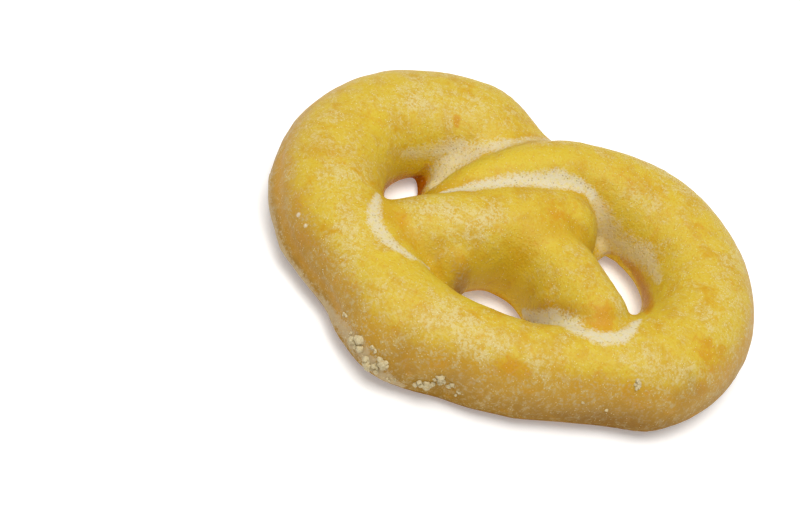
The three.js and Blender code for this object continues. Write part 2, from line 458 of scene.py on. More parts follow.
# from here on places are in the frame of the solids, mm
coat = {
    # pale lines where the wash ran thin between two strands: strength, then x, y, z, half width
    "paleLines": [
        (0.8, [
            (-1.4, 18.9, 9.3, 0.9), (-4.9, 14.7, 10.3, 1.3), (-7.8, 12.7, 9.9, 1.6), (-10.7, 11.0, 8.0, 2.0),
            (-12.5, 9.6, 6.0, 2.6), (-13.0, 7.6, 4.9, 2.6), (-12.6, 4.2, 6.8, 1.8), (-12.2, 1.4, 9.0, 0.8),
        ]),
        (0.5, [
            (-19.0, 6.6, 7.6, 0.8), (-17.0, 8.6, 7.2, 1.5), (-14.8, 10.3, 7.6, 1.6), (-12.4, 11.8, 8.6, 1.5),
        ]),
        (1.0, [
            (-11.4, -0.2, 10.5, 0.6), (-8.3, 1.8, 11.4, 1.1), (-5.0, 4.5, 11.9, 1.3), (-1.4, 7.2, 12.0, 1.5),
            (1.7, 9.5, 12.1, 1.5), (4.6, 10.8, 11.6, 1.2), (6.8, 10.9, 10.9, 0.9),
        ]),
        (0.65, [
            (6.8, 10.9, 10.9, 1.0), (9.2, 10.4, 9.2, 1.6), (11.3, 10.2, 6.5, 2.2), (12.8, 9.9, 5.4, 2.4),
            (14.8, 9.4, 5.8, 2.4), (16.8, 8.3, 6.8, 2.2), (18.6, 6.3, 7.4, 1.7), (19.6, 4.0, 8.0, 1.0),
        ]),
        (0.65, [(9.4, 10.0, 7.7, 1.2), (10.4, 9.2, 5.2, 1.8), (11.9, 9.2, 3.8, 1.6)]),
        (0.9, [
            (-19.0, -5.0, 10.4, 0.5), (-18.4, -8.6, 11.6, 1.0), (-17.3, -11.4, 11.9, 1.2),
            (-15.5, -12.9, 11.9, 1.2), (-13.6, -13.6, 11.8, 0.9), (-11.4, -13.7, 11.4, 0.7),
            (-8.8, -12.0, 8.8, 0.4),
        ]),
        (1.0, [
            (5.1, -7.7, 3.6, 0.8), (6.4, -8.8, 5.0, 1.3), (8.1, -10.0, 7.0, 1.6), (10.0, -11.7, 9.4, 1.7),
            (12.0, -13.4, 11.2, 1.6), (14.8, -13.5, 11.7, 1.4), (17.2, -12.2, 11.8, 1.2),
            (18.2, -9.8, 11.5, 0.9), (18.6, -6.6, 10.9, 0.5),
        ]),
    ],
    "paleFrom": -0.6, "paleFull": 0.1,  # where a line's strength starts and is full, as nearLine counts
    "paleFoot": [
        (-33.3, -5.0, 5.2, 0.9), (-31.5, -9.1, 4.2, 1.0), (-28.6, -12.9, 3.7, 1.0), (-25.3, -15.7, 3.1, 0.9),
        (-20.2, -19.3, 2.8, 0.8), (-15.9, -23.0, 4.4, 1.4), (-12.8, -25.0, 4.8, 2.0), (-9.8, -26.2, 4.2, 2.0),
        (-6.2, -26.4, 2.6, 1.2),
    ],
    # the lip along the lower left and the furrow above it: x, y, z, half width, mm outwards
    "footLip": {"out": 0.22, "at": [
        (-33.3, -5.0, 5.2, 1.1), (-31.5, -9.1, 4.2, 1.1), (-28.6, -12.9, 3.7, 1.1), (-25.3, -15.7, 3.1, 1.0),
        (-20.2, -19.3, 2.8, 1.0), (-15.9, -23.3, 3.2, 1.2), (-11.7, -25.6, 2.4, 1.4),
    ]},
    "furrow": {"out": -0.2, "at": [
        (-33.5, -2.0, 7.6, 1.0), (-32.1, -6.4, 7.5, 1.7), (-30.2, -10.5, 6.7, 1.7), (-26.9, -14.5, 5.6, 1.6),
        (-23.2, -17.3, 5.0, 1.5), (-17.7, -21.6, 5.8, 1.4), (-13.7, -24.6, 5.8, 0.9),
    ]},
    # browned edges of the openings
    "brownEdges": [
        [
            (-18.2, -4.0, 8.9, 0.8), (-19.0, 0.0, 6.0, 1.4), (-19.0, 3.3, 3.9, 1.8), (-18.2, 6.7, 2.6, 2.0),
            (-16.9, 8.9, 1.8, 2.4), (-15.2, 8.8, 2.0, 2.6), (-14.2, 7.0, 2.0, 2.2), (-13.6, 4.5, 2.4, 1.4),
        ],
        [
            (12.8, 9.3, 3.2, 0.9), (14.6, 8.7, 3.8, 1.2), (16.2, 7.8, 4.0, 1.6), (17.6, 6.3, 4.0, 1.9),
            (18.9, 4.1, 4.4, 2.1), (19.6, 1.5, 5.8, 1.9), (19.9, -2.0, 8.2, 1.4), (20.0, -4.9, 9.9, 0.8),
        ],
        [(-3.3, -7.7, 3.0, 1.3), (-1.2, -6.2, 2.2, 1.5), (0.8, -5.5, 1.6, 1.5), (2.6, -5.8, 1.4, 1.2)],
    ],
    # the bare wall inside the left opening
    "bareWall": [
        (-17.4, 9.6, 1.0, 1.8), (-15.6, 9.4, 1.2, 2.3), (-14.4, 7.8, 1.2, 2.2), (-13.9, 5.6, 1.0, 1.8),
    ],
    # where the outer side is darkest, partly baked and partly painted shade: x, y, z, radius, strength
    "darkest": [
        (11.0, -24.0, 2.5, 3.0, 0.6), (17.0, -20.9, 2.5, 3.4, 1.0), (21.5, -18.5, 2.5, 3.4, 1.0),
        (26.0, -16.0, 2.5, 3.2, 0.8), (-7.5, -26.0, 7.4, 2.8, 0.6), (-15.9, -22.4, 7.6, 3.0, 0.45),
        (-21.0, -18.0, 7.0, 2.8, 0.4), (-25.6, -15.2, 6.6, 2.8, 0.6), (-29.6, -11.4, 6.0, 2.6, 0.4),
        (1.0, -25.4, 6.4, 2.6, 0.3), (23.2, -17.4, 6.0, 2.6, 0.3), (28.4, -12.4, 8.2, 2.2, 0.6),
    ],
    # x, y, z, radius, strength
    "toasted": [
        (-13.9, 13.6, 10.7, 0.55, 3.4), (14.6, -10.6, 11.6, 2.1, 1.3), (11.9, -8.9, 12.5, 1.8, 0.5),
        (5.2, -22.5, 10.1, 1.7, 0.9), (7.6, -22.0, 9.9, 1.3, 0.7), (1.5, -24.6, 8.3, 1.5, 0.4),
        (27.2, -7.5, 11.7, 2.2, 0.65), (29.8, -7.6, 10.4, 2.0, 0.5), (22.7, -17.0, 7.9, 2.6, 0.5),
        (29.2, 5.3, 11.6, 2.2, 0.4), (10.1, 15.1, 12.8, 2.6, 0.5), (4.0, 3.3, 12.7, 2.4, 0.8),
        (-2.6, -3.1, 12.4, 1.3, 0.4), (-14.8, -8.5, 11.6, 2.0, 0.8), (-25.4, -15.1, 7.1, 2.2, 0.7),
        (-28.6, -3.3, 11.6, 2.2, 0.5), (-27.6, -11.0, 9.7, 2.2, 0.5), (-24.7, -3.3, 12.0, 2.0, 0.4),
        (-7.8, -20.3, 12.0, 1.9, 0.5), (-9.1, -24.6, 9.7, 1.7, 0.6), (14.1, 15.1, 12.2, 2.2, 0.4),
        (22.4, 12.0, 12.0, 2.2, 0.5), (-5.0, 21.1, 9.7, 2.2, 0.5), (-16.4, -20.0, 10.0, 2.0, 0.4),
        (16.9, -18.4, 9.8, 2.0, 0.4), (11.7, -20.1, 10.4, 1.6, 0.5), (-15.3, 9.4, 4.9, 1.0, 0.9),
        (-22.8, 20.2, 8.5, 2.4, 0.4), (20.0, 21.0, 6.5, 2.4, 0.4), (33.0, 1.0, 6.0, 2.6, 0.4),
    ],
    "frosted": [
        (-20.2, 14.2, 11.9, 3.6, 1.0), (-12.1, 17.3, 11.9, 3.2, 0.9), (-24.3, 9.1, 12.0, 3.0, 0.6),
        (-29.2, 2.7, 11.7, 3.0, 0.5), (-23.8, -5.8, 12.0, 3.4, 0.9), (-19.5, -14.7, 11.5, 3.6, 0.8),
        (-17.5, -18.9, 10.0, 2.6, 0.7), (-12.8, -6.6, 12.2, 2.4, 0.9), (-9.1, -5.4, 12.7, 2.8, 1.0),
        (-4.1, -3.3, 12.7, 3.0, 1.0), (5.1, -5.3, 10.4, 2.0, 0.6), (15.5, -6.6, 12.3, 2.2, 0.7),
        (-5.3, -19.8, 12.0, 3.2, 0.7), (-0.6, -21.3, 11.8, 3.0, 0.7), (2.4, -21.8, 11.3, 2.4, 0.6),
        (-8.0, -25.2, 9.1, 2.6, 0.6), (-14.4, -22.6, 9.0, 2.4, 0.6), (11.3, -21.5, 8.7, 2.4, 0.6),
        (8.0, -21.4, 10.5, 1.6, 0.6), (21.1, -15.0, 10.9, 3.2, 0.6), (27.6, -12.1, 9.8, 2.6, 0.7),
        (29.1, -3.5, 11.6, 3.0, 0.7), (29.1, 2.2, 11.8, 3.2, 0.8), (29.0, 11.1, 10.8, 3.0, 0.6),
        (20.5, 20.0, 10.5, 3.2, 0.6), (14.5, 20.4, 11.6, 3.2, 0.7), (13.4, 13.1, 11.6, 2.2, 0.8),
    ],
    # where the glaze pooled smooth and clear
    "clear": [
        (-11.5, 4.0, 10.0, 1.8, 0.9), (-8.4, 5.8, 12.2, 2.4, 1.0), (-3.9, 9.2, 13.4, 2.8, 1.0),
        (0.9, 12.3, 13.7, 2.6, 0.8), (2.7, -1.4, 12.1, 2.2, 1.0), (1.2, -2.7, 11.4, 2.0, 1.0),
        (19.9, 2.6, 7.3, 2.6, 0.9), (19.9, -3.2, 9.4, 2.8, 0.9), (6.0, 6.2, 11.2, 1.8, 0.7),
        (-7.0, -15.5, 10.8, 2.4, 0.7), (-1.5, -16.0, 9.8, 2.6, 0.8), (13.5, -15.6, 11.6, 1.6, 0.8),
        (-23.9, 6.2, 11.7, 2.6, 0.7), (-14.0, -15.9, 11.6, 1.6, 0.7),
    ],
    # how the patches wander off their spots: two sizes of wave, a seed, then how far each kind goes
    "sway": {"long": 2.1, "short": 0.9, "seed": 31, "patches": 1.1, "toasted": 0.5, "lines": 0.2},
}
relief = {
    "swells": [(5.2, 0.13), (2.3, 0.05), (0.95, 0.03)],  # size and height, mm
    "seed": 3,
    "swellsFade": (0.3, 2.5),  # they fade out towards the tray, mm above it
    # x, y, z, radius, mm outwards
    "pushes": [
        (-8.8, -26.5, 3.6, 2.4, 0.35), (-0.3, -25.9, 4.0, 2.8, -0.65), (0.0, -15.0, 10.3, 3.0, 0.35),
        (-27.5, -14.3, 3.0, 2.0, 0.3), (-18.9, -20.6, 3.8, 3.0, -0.4), (15.7, -20.8, 3.2, 4.0, -0.3),
        (25.3, -16.5, 3.0, 2.6, 0.35), (5.2, -24.2, 7.0, 0.7, -0.14), (7.5, -23.4, 7.6, 0.7, -0.14),
        (9.2, -22.8, 8.0, 0.7, -0.12), (8.5, -23.2, 6.6, 0.5, -0.12), (-13.9, 13.6, 10.7, 0.4, -0.10),
    ],
    "blisters": [(-26.9, -12.7, 8.8, 0.35, 0.16), (-25.4, -14.0, 8.9, 0.3, 0.14)],
    "valleyGap": (0.3, 3.2),  # how near the second strand is, mm
    "spineY": 1.0,  # the middle of the cookie is a line from lobe to lobe
    "outerFacing": (0.05, 0.7),  # how squarely a face looks away from it
    "outerGap": (9, 13),  # how far it is from that line, mm
}


def nearLine(points, line):  # 1 on a line, 0 at its half width, negative beyond
    value = np.full(len(points), -1.0)
    stops = np.array(line)
    for a, b in zip(stops[:-1], stops[1:]):
        way = (b - a)[:3]
        share = np.clip(((points - a[:3]) @ way) / (way @ way), 0, 1)
        gap = np.linalg.norm(points - a[:3] - share[:, None] * way, axis=1)
        value = np.maximum(value, 1 - gap / (a[3] + share * (b[3] - a[3])))
    return value


def nearSpots(points, spots):
    value = np.zeros(len(points))
    for x, y, z, radius, strength in spots:
        square = ((points - (x, y, z)) ** 2).sum(1)
        value += strength * np.exp(-square / radius ** 2)
    return value


def lumps(points, size, seed):  # smooth value noise from -1 to 1
    cell = points / size + 100
    corner = np.floor(cell).astype(np.int64)
    part = cell - corner
    part = part * part * (3 - 2 * part)
    table = 8192
    values = np.random.default_rng(seed).random(table)
    primes = (73856093, 19349663, 83492791)
    total = np.zeros(len(points))
    for step in range(8):
        side = np.array([step & 1, step >> 1 & 1, step >> 2 & 1])
        x, y, z = ((corner + side) * primes).T
        total += values[(x ^ y ^ z) % table] * np.where(side, part, 1 - part).prod(axis=1)
    return 2 * total - 1


_, outward, fields = doughField(fieldPoints)
outward /= np.linalg.norm(outward, axis=1)[:, None]

# how deep a point lies in the valley between two strands
gaps = np.stack([fields[name][0] for name in ("left", "right", "bar", "tail")])
farAway = 30
gaps[1] += np.where(fieldPoints[:, 1] > fusing["loopParts"][0], 0, farAway)  # one strand at the base
gaps.sort(axis=0)
valley = 1 - smoothStep(*relief["valleyGap"], gaps[1])

# faces that look away from the middle of the cookie
spine = np.clip(fieldPoints[:, 0], rope["leftLobe"]["x"], rope["rightLobe"]["x"])
fromSpine = fieldPoints[:, :2] - np.stack([spine, np.full(len(spine), relief["spineY"])], 1)
spineGap = np.linalg.norm(fromSpine, axis=1)
outerSide = smoothStep(*relief["outerFacing"], (fromSpine * outward[:, :2]).sum(1) / spineGap)
outerSide *= smoothStep(*relief["outerGap"], spineGap)
doughPoints = fieldPoints + shift

push = nearSpots(doughPoints, relief["pushes"] + relief["blisters"])
for key in ("footLip", "furrow"):
    push += coat[key]["out"] * smoothStep(0, 1, nearLine(doughPoints, coat[key]["at"]))
ease = smoothStep(*relief["swellsFade"], doughPoints[:, 2])
for step, (size, swell) in enumerate(relief["swells"]):
    push += swell * lumps(doughPoints, size, relief["seed"] + step) * ease
shownPoints = doughPoints + outward * push[:, None]
shownPoints[:, 2] = np.maximum(shownPoints[:, 2], 0)
writePoints(fineMesh, shownPoints * mm)
for polygon in fineMesh.polygons:
    polygon.use_smooth = True


def wander(seed):
    long, short = coat["sway"]["long"], coat["sway"]["short"]
    return lumps(doughPoints, long, seed) + 0.5 * lumps(doughPoints, short, seed + 9)


# the patches wander off their spots, so that none is round
sway = np.stack([wander(coat["sway"]["seed"] + axis) for axis in range(3)], axis=1)
strayed = doughPoints + coat["sway"]["patches"] * sway
toastPoints = doughPoints + coat["sway"]["toasted"] * sway
linePoints = doughPoints + coat["sway"]["lines"] * sway
paleGaps = [nearLine(linePoints, line) for _, line in coat["paleLines"]]
paleShares = []
for (strength, _), gap in zip(coat["paleLines"], paleGaps):
    paleShares.append(strength * smoothStep(coat["paleFrom"], coat["paleFull"], gap))
brownGaps = [nearLine(doughPoints, line) for line in coat["brownEdges"]]
blisters = [(x, y, z, radius, 1) for x, y, z, radius, _ in relief["blisters"]]
marks = {
    "paleLine": 0.5 + 0.5 * np.max(paleGaps, axis=0),
    "paleStrength": np.max(paleShares, axis=0),
    "paleFoot": 0.5 + 0.5 * nearLine(linePoints, coat["paleFoot"]),
    "brownEdge": np.clip(np.max(brownGaps, axis=0), 0, 1),
    "bareWall": np.clip(nearLine(doughPoints, coat["bareWall"]), 0, 1),
    "furrow": np.clip(nearLine(doughPoints, coat["furrow"]["at"]), 0, 1),
    "toasted": np.clip(nearSpots(toastPoints, coat["toasted"]), 0, 1.3),
    "frosted": np.clip(nearSpots(strayed, coat["frosted"]), 0, 1),
    "clear": np.clip(nearSpots(strayed, coat["clear"]), 0, 1),
    "darkest": np.clip(nearSpots(strayed, coat["darkest"]), 0, 1),
    "valley": valley,
    "facingUp": outward[:, 2],
    "outerSide": outerSide,
    "blister": np.clip(nearSpots(doughPoints, blisters), 0, 1),
}
for name, values in marks.items():
    column = fineMesh.attributes.new(name, "FLOAT", "POINT")
    column.data.foreach_set("value", values.astype(np.float32))
print("dough dressed:", len(marks), "marks")

# glaze over baked dough
paint = {
    "light": 1.25,  # what the studio light makes of a white face turned up to it
    # colours as they look on such a face
    "tones": {
        "yellow": (223, 192, 54), "ochre": (212, 170, 26), "clear": (225, 196, 52), "poolAndShade": (208, 160, 0),
        "haze": (219, 197, 106), "cream": (234, 218, 158), "paintedGlint": (255, 244, 186), "toast": (216, 154, 4),
        "burnt": (196, 120, 0), "wall": (172, 90, 0), "pale": (232, 222, 190), "paintedBounce": (240, 199, 20),
        "prick": (176, 144, 84), "baked": (202, 150, 34), "flank": (160, 118, 48), "foot": (128, 84, 34),
        "ash": (196, 168, 116), "lip": (208, 186, 146), "blister": (240, 230, 205),
    },
    # grain of the surface: size in mm, detail, roughness, twist, offset in mm
    "noises": {
        "patches": (3.2, 3.0, 0.55, 0.3, 0.0), "coarse": (1.2, 3.0, 0.6, 0.4, 7.0),
        "clumps": (0.7, 2.0, 0.6, 0.3, 17.0), "grain": (0.34, 2.0, 0.6, 0.2, 3.0),
        "fine": (0.16, 2.0, 0.6, 0.0, 11.0), "loose": (2.6, 3.0, 0.6, 0.5, 21.0),
    },
    # dots, one in each cell: size of the cell and offset in mm
    "dots": {"pinpricks": (0.40, 0.0), "specks": (0.30, 5.0)},
    # over which stretch of a value something comes in, and how far it goes
    "ramps": {
        "ochre": (0.42, 0.66, 1.0), "clear": (0.15, 0.7, 1.0), "valley": (0.3, 1.0, 1.0),
        "upInside": (-0.2, 0.75, 1.0), "upOutside": (0.25, 1.0, 1.0), "crown": (0.1, 0.8, 1.0),
        "baked": (0.05, 0.75, 0.9), "aboveFlank": (1.5, 8.5, 1.0), "flank": (0.2, 0.8, 1.0),
        "ash": (0.46, 0.8, 0.75), "ashSide": (0.1, 0.7, 1.0), "toasted": (0.25, 0.95, 1.0),
        "loose": (0.54, 0.76, 0.55), "burntGrain": (0.5, 0.85, 0.6), "toastedHeart": (0.7, 1.3, 0.45),
        "gather": (0.2, 1.0, 1.0), "mottle": (0.5, 0.78, 1.0), "pores": (0.5, 0.75, 1.0),
        "aboveRim": (0.2, 2.6, 1.0), "furrow": (0.1, 0.9, 1.0), "edgeToast": (0.1, 0.6, 1.0),
        "edgeBurnt": (0.4, 1.2, 1.0), "wall": (0.1, 0.45, 1.0), "aboveWall": (2.2, 3.4, 1.0),
        "band": (0.62, 1.1, 1.0), "footBand": (0.45, 0.8, 1.0), "aroundPrick": (0.14, 0.34, 1.0),
        "creamInPale": (0.45, 0.65, 1.0), "aroundSpeck": (0.08, 0.36, 1.0), "chosen": (0.70, 1.02, 1.0),
        "blister": (0.2, 0.7, 1.0), "gloss": (1.0, 7.0, 0.25),
    },
    # how strongly a layer covers what lies below it
    "shares": {
        "poolAndShade": 0.5, "paintedBounce": 0.8, "flank": 0.9, "patch": 0.9, "toast": 0.85, "haze": 0.5, "cream": 0.66,
        "pores": 0.5, "foot": 0.45, "rim": 0.9, "furrow": 0.4, "edgeToast": 0.8, "edgeBurnt": 0.7,
        "wall": 0.9, "prick": 0.55, "pale": 0.88, "lip": 0.75, "paintedGlint": 0.75, "blister": 0.8,
    },
    "prickedFrom": 0.4,  # the cells below this share carry no pinprick
    "inside": {
        "Subsurface Weight": 0.12, "Subsurface Radius": (1.0, 0.7, 0.25), "Subsurface Scale": 0.0015,
    },
    "bump": {"Strength": 0.7, "Distance": 0.00014},
}


def tone(seen):  # a colour as seen, to the numbers that light works with
    linear = ((np.array(seen) / 255 + 0.055) / 1.055) ** 2.4
    return tuple(float(c) for c in linear / paint["light"]) + (1.0,)


doughMaterial.use_nodes = True
glaze = doughMaterial.node_tree
shader = glaze.nodes["Principled BSDF"]
inMetres = glaze.nodes.new("ShaderNodeTexCoord").outputs["Object"]
inMm = addNode(glaze, "ShaderNodeVectorMath", {"operation": "SCALE"}, i0=inMetres, Scale=1 / mm).outputs[0]
glazeHeight = addNode(glaze, "ShaderNodeSeparateXYZ", {}, Vector=inMm).outputs[2]


def shifted(offset):
    adding = {"operation": "ADD"}
    return addNode(glaze, "ShaderNodeVectorMath", adding, i0=inMm, i1=(offset,) * 3).outputs[0]


def noise(name):
    size, detail, rough, twist, offset = paint["noises"][name]
    look = {"Scale": 1 / size, "Detail": detail, "Roughness": rough, "Distortion": twist}
    return addNode(glaze, "ShaderNodeTexNoise", {}, Vector=shifted(offset), **look).outputs[0]


def dots(name):  # how far the cell's dot is, and a random number for the cell
    size, offset = paint["dots"][name]
    node = addNode(glaze, "ShaderNodeTexVoronoi", {}, Vector=shifted(offset), Scale=1 / size)
    pick = addNode(glaze, "ShaderNodeSeparateColor", {}, Color=node.outputs["Color"]).outputs[0]
    return node.outputs["Distance"], pick


def ramp(value, name):
    low, high, top = paint["ramps"][name]
    smooth = {"interpolation_type": "SMOOTHSTEP"}
    return addNode(glaze, "ShaderNodeMapRange", smooth, i0=value, i1=low, i2=high, i3=0.0, i4=top).outputs[0]


def calc(operation, *values):
    return doMath(glaze, operation, *values)


def plus(a, b):
    return calc("ADD", a, b)


def minus(a, b):
    return calc("SUBTRACT", a, b)


def times(a, b):
    return calc("MULTIPLY", a, b)


def rest(value):
    return minus(1.0, value)


def swing(value, share):  # a noise as a push to both sides of nothing
    return times(minus(value, 0.5), share)


def cover(under, over, share):
    return addNode(glaze, "ShaderNodeMix", {"data_type": "RGBA"}, i0=share, i6=under, i7=over).outputs[2]


tones = {name: tone(seen) for name, seen in paint["tones"].items()}
shares = paint["shares"]
mark = {}
for name in marks:
    mark[name] = addNode(glaze, "ShaderNodeAttribute", {"attribute_name": name}).outputs["Fac"]
patches = noise("patches")
coarse = noise("coarse")
clumps = noise("clumps")
grain = noise("grain")
fine = noise("fine")

# yellow glaze, deeper in the valleys between strands: partly glaze that ran together there, partly painted
# shade
colour = cover(tones["yellow"], tones["ochre"], ramp(patches, "ochre"))
colour = cover(colour, tones["clear"], ramp(mark["clear"], "clear"))
colour = cover(colour, tones["poolAndShade"], times(ramp(mark["valley"], "valley"), shares["poolAndShade"]))

# painted bounce light: the walls of the openings are lighter and deeper yellow, since light goes from wall to
# wall
inner = times(rest(ramp(mark["facingUp"], "upInside")), rest(mark["outerSide"]))
colour = cover(colour, tones["paintedBounce"], times(inner, shares["paintedBounce"]))

# the outer sides are baked browner, and lose their glaze towards the tray; their darker brown on steep,
# outward faces is partly painted shade
lean = times(mark["outerSide"], rest(ramp(mark["facingUp"], "upOutside")))
shade = plus(lean, times(swing(coarse, 0.6), mark["outerSide"]))
colour = cover(colour, tones["baked"], ramp(shade, "baked"))
lowSide = rest(ramp(plus(swing(coarse, 3.0), glazeHeight), "aboveFlank"))
bare = times(lowSide, ramp(lean, "flank"))
colour = cover(colour, tones["flank"], times(bare, shares["flank"]))
ash = plus(plus(grain, swing(clumps, 0.8)), swing(coarse, 0.9))
colour = cover(colour, tones["ash"], times(ramp(ash, "ash"), ramp(lean, "ashSide")))

# toasted patches, ragged at their edges
ragged = plus(plus(mark["toasted"], swing(coarse, 1.3)), swing(clumps, 1.2))
loose = plus(noise("loose"), swing(clumps, 0.3))
toast = calc("MAXIMUM", times(ramp(ragged, "toasted"), shares["patch"]), ramp(loose, "loose"))
toastTone = cover(tones["toast"], tones["burnt"], ramp(plus(grain, swing(fine, 0.6)), "burntGrain"))
colour = cover(colour, toastTone, times(toast, shares["toast"]))

# cream mottles: a haze and fine grains of frost, gathered in patches on the crowns; that they grow stronger
# on faces turned up is partly painted sheen
crown = calc("MULTIPLY_ADD", ramp(mark["facingUp"], "crown"), 0.75, 0.25)
gather = plus(times(mark["frosted"], 0.32), times(patches, 0.88))
gather = plus(gather, plus(swing(coarse, 1.0), swing(clumps, 0.5)))
for smooth, weight in ((mark["clear"], 0.4), (mark["valley"], 0.3), (toast, 0.7)):
    gather = minus(gather, times(smooth, weight))
gather = times(ramp(gather, "gather"), crown)
colour = cover(colour, tones["haze"], times(gather, shares["haze"]))
mottle = plus(calc("MULTIPLY_ADD", gather, 0.2, grain), plus(swing(clumps, 0.4), swing(fine, 0.3)))
mottle = times(ramp(mottle, "mottle"), calc("MULTIPLY_ADD", gather, 0.75, 0.2))
colour = cover(colour, tones["cream"], times(mottle, shares["cream"]))
pores = rest(plus(grain, plus(swing(fine, 0.5), swing(clumps, 0.3))))
colour = cover(colour, tones["toast"], times(ramp(pores, "pores"), times(crown, shares["pores"])))
colour = cover(colour, tones["toast"], ramp(ragged, "toastedHeart"))

# browned foot, furrow and edges of the openings; the darkest patches of the outer side are partly painted
# shade
colour = cover(colour, tones["foot"], times(mark["darkest"], shares["foot"]))
rim = rest(ramp(plus(swing(coarse, 1.2), glazeHeight), "aboveRim"))
rimTone = cover(tones["burnt"], tones["foot"], mark["outerSide"])
colour = cover(colour, rimTone, times(rim, shares["rim"]))
colour = cover(colour, tones["toast"], times(ramp(mark["furrow"], "furrow"), shares["furrow"]))
burn = plus(swing(coarse, 0.8), mark["brownEdge"])
colour = cover(colour, tones["toast"], times(ramp(burn, "edgeToast"), shares["edgeToast"]))
colour = cover(colour, tones["burnt"], times(ramp(burn, "edgeBurnt"), shares["edgeBurnt"]))
wall = times(ramp(mark["bareWall"], "wall"), rest(ramp(glazeHeight, "aboveWall")))
colour = cover(colour, tones["wall"], times(wall, shares["wall"]))

# pale lines: grainy edges and dark pinpricks
edge = plus(plus(swing(grain, 0.8), swing(fine, 0.5)), swing(coarse, 0.5))
band = plus(calc("MULTIPLY_ADD", mark["paleStrength"], 0.3, mark["paleLine"]), edge)
band = times(ramp(band, "band"), mark["paleStrength"])
footBand = ramp(plus(mark["paleFoot"], edge), "footBand")
prickGap, prickPick = dots("pinpricks")
pricked = calc("GREATER_THAN", prickPick, paint["prickedFrom"])
prick = times(rest(ramp(prickGap, "aroundPrick")), pricked)
pale = cover(tones["pale"], tones["cream"], ramp(clumps, "creamInPale"))
pale = cover(pale, tones["prick"], times(prick, shares["prick"]))
colour = cover(colour, pale, times(band, shares["pale"]))
colour = cover(colour, tones["lip"], times(footBand, shares["lip"]))

# bright specks: painted glints of the dried wash
speckGap, speckPick = dots("specks")
chosen = ramp(calc("MULTIPLY_ADD", gather, 0.5, speckPick), "chosen")
paintedGlint = times(rest(ramp(speckGap, "aroundSpeck")), chosen)
colour = cover(colour, tones["paintedGlint"], times(paintedGlint, shares["paintedGlint"]))
colour = cover(colour, tones["blister"], times(ramp(mark["blister"], "blister"), shares["blister"]))
glaze.links.new(colour, shader.inputs["Base Color"])

# satin glaze, matt where it is thin, and duller towards the tray
matt = calc("MAXIMUM", band, calc("MAXIMUM", bare, footBand))
dull = calc("MULTIPLY_ADD", matt, 0.25, calc("MULTIPLY_ADD", grain, 0.25, 0.35))
glaze.links.new(minus(dull, times(paintedGlint, 0.2)), shader.inputs["Roughness"])
glaze.links.new(ramp(glazeHeight, "gloss"), shader.inputs["Specular IOR Level"])
for label, value in paint["inside"].items():
    shader.inputs[label].default_value = value
crust = calc("MULTIPLY_ADD", paintedGlint, 0.5, calc("MULTIPLY_ADD", fine, 0.5, grain))
crust = minus(crust, times(times(prick, band), 0.8))
bump = addNode(glaze, "ShaderNodeBump", {}, Height=crust, **paint["bump"])
glaze.links.new(bump.outputs[0], shader.inputs["Normal"])

fineMesh.materials.clear()
fineMesh.materials.append(doughMaterial)
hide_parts("pretzel_cookie")
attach(cookie, "root")

# lumps of dried egg wash that stuck to the foot
crumbs = {
    "seed": 11,
    "lumpSize": 0.34, "lumpHeight": 0.55,  # the bumps on each lump, mm
    "levels": 3,
    "anyTurn": 6.28,  # radians
    # x, y, z, spread, how many, smallest and largest radius
    "clusters": [
        (-12.6, -25.3, 5.4, 0.42, 7, 0.40, 0.72), (-13.7, -24.7, 4.9, 0.40, 6, 0.22, 0.50),
        (-10.2, -26.3, 3.9, 0.50, 9, 0.36, 0.64), (-8.8, -26.5, 5.2, 0.42, 8, 0.34, 0.66),
        (-9.3, -26.4, 4.4, 0.70, 6, 0.18, 0.44), (-10.6, -25.9, 6.3, 0.25, 4, 0.16, 0.34),
        (-7.0, -26.4, 3.6, 0.45, 4, 0.16, 0.32), (-2.8, -26.1, 4.0, 0.42, 8, 0.34, 0.62),
        (-1.2, -25.8, 5.2, 0.48, 8, 0.22, 0.46), (0.3, -25.5, 4.6, 0.30, 5, 0.18, 0.34),
        (1.6, -25.3, 3.8, 0.24, 3, 0.12, 0.24), (16.2, -20.2, 6.6, 0.15, 3, 0.10, 0.20),
        (19.3, -18.9, 5.8, 0.15, 3, 0.10, 0.20), (21.6, -16.3, 9.6, 0.28, 8, 0.20, 0.40),
        (-15.9, -22.8, 6.6, 0.30, 4, 0.14, 0.30), (-20.5, -17.9, 7.0, 0.15, 2, 0.08, 0.16),
        (30.2, 13.6, 3.4, 0.35, 6, 0.12, 0.30), (-22.0, 20.6, 3.0, 0.40, 8, 0.12, 0.36),
        (5.5, 23.5, 2.8, 0.30, 5, 0.12, 0.26),
    ],
    "white": (220, 205, 162), "cream": (202, 180, 130), "creamFrom": 0.4, "creamTo": 0.65,
    "grainsPerMetre": 4500.0, "roughness": 0.62, "gloss": 0.3,
    "bump": {"Strength": 0.5, "Distance": 0.00006},
}
dice = np.random.default_rng(crumbs["seed"])
finder = KDTree(len(shownPoints))
for index, spot in enumerate(shownPoints):
    finder.insert(Vector(spot), index)
finder.balance()
seats, girths, turns = [], [], []
for x, y, z, spread, count, small, large in crumbs["clusters"]:
    for _ in range(count):
        near = Vector((x, y, z) + dice.normal(0, spread, 3))
        _, index, _ = finder.find(near)
        seats.append(shownPoints[index])
        girths.append(small + (large - small) * dice.random() ** 2)
        turns.append(dice.random(3) * crumbs["anyTurn"])
seatMesh = bpy.data.meshes.new("crumbSeats")
seatMesh.from_pydata([tuple(seat * mm) for seat in seats], [], [])
girthColumn = seatMesh.attributes.new("girth", "FLOAT", "POINT")
girthColumn.data.foreach_set("value", np.array(girths, np.float32) * mm)
turnColumn = seatMesh.attributes.new("turn", "FLOAT_VECTOR", "POINT")
turnColumn.data.foreach_set("vector", np.array(turns, np.float32).ravel())
crumbObject = newObject("glazeCrumbs", seatMesh)


